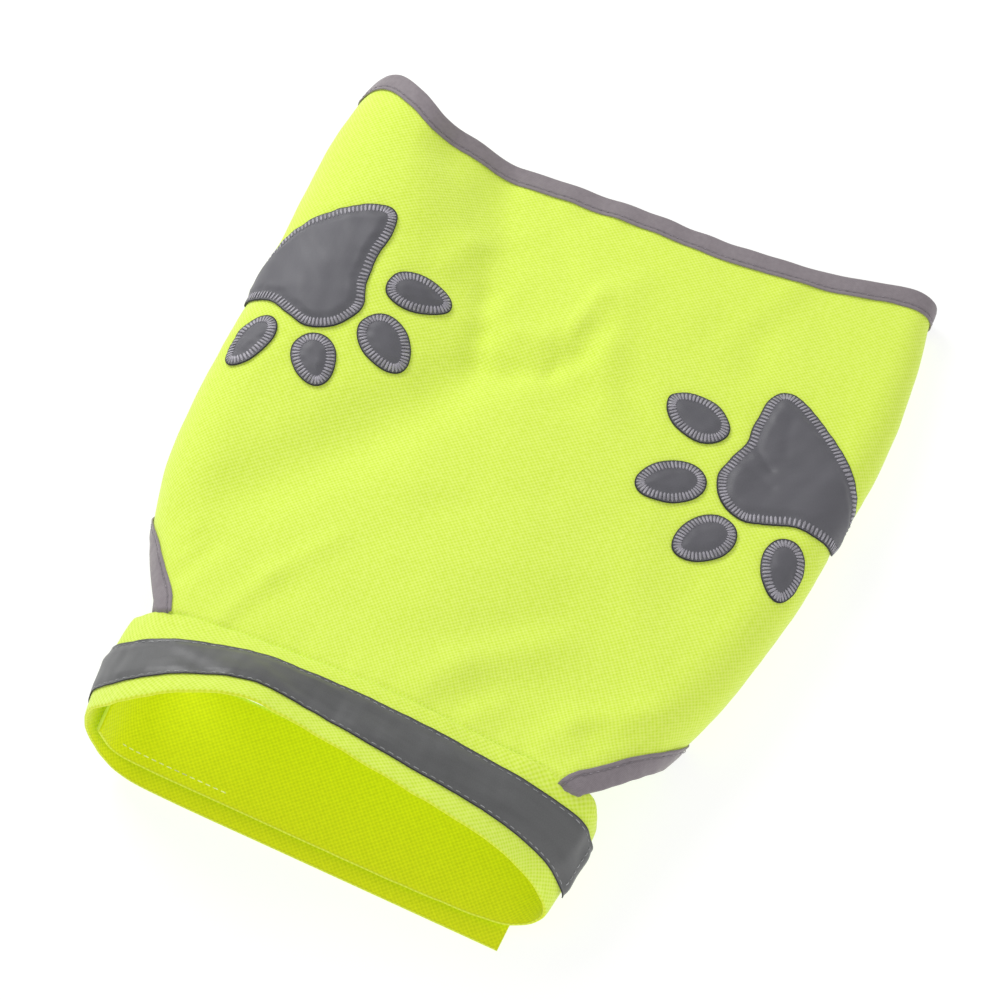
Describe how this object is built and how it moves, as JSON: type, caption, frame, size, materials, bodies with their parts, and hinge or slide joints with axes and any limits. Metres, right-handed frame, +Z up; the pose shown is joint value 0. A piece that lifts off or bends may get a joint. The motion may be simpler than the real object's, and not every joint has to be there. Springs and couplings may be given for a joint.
{
  "type": "dog hunting vest",
  "caption": "Hi-vis cloth vest for a medium dog, closed under belly and neck, with a strap collar, reflective collar tape, bound armholes and hem, and paw motifs on its back.",
  "frame": {"origin": "centre of the bounding box in X and Y, on the surface that the vest lies on", "axes": "+X to the side that shows on the right of the picture, +Y from the collar to the hem, +Z up from the surface"},
  "size_m": [0.3072, 0.3745, 0.0759],
  "materials": {
    "hi_vis": "fluorescent yellow-green woven polyester",
    "collar": "the same cloth, doubled",
    "binding": "mauve-grey folded binding, stitched near its inner edge",
    "tape": "grey retroreflective tape, stitched along both edges",
    "paw": "grey retroreflective applique with a silver blanket stitch",
    "fastener": "hook-and-loop tape in the cloth's colour"
  },
  "bodies": {
    "root": {"body_panel": "hi_vis", "collar_band": "collar", "hem_binding": "binding", "armhole_binding_left": "binding", "armhole_binding_right": "binding", "collar_tape": "tape", "paw_pad_left": "paw", "paw_pad_right": "paw", "paw_toe_left_1": "paw", "paw_toe_left_2": "paw", "paw_toe_left_3": "paw", "paw_toe_left_4": "paw", "paw_toe_right_1": "paw", "paw_toe_right_2": "paw", "paw_toe_right_3": "paw", "paw_toe_right_4": "paw", "belly_loop_strip": "fastener", "belly_hook_strip": "fastener", "collar_loop_strip": "fastener", "collar_hook_strip": "fastener"}
  },
  "joints": []
}
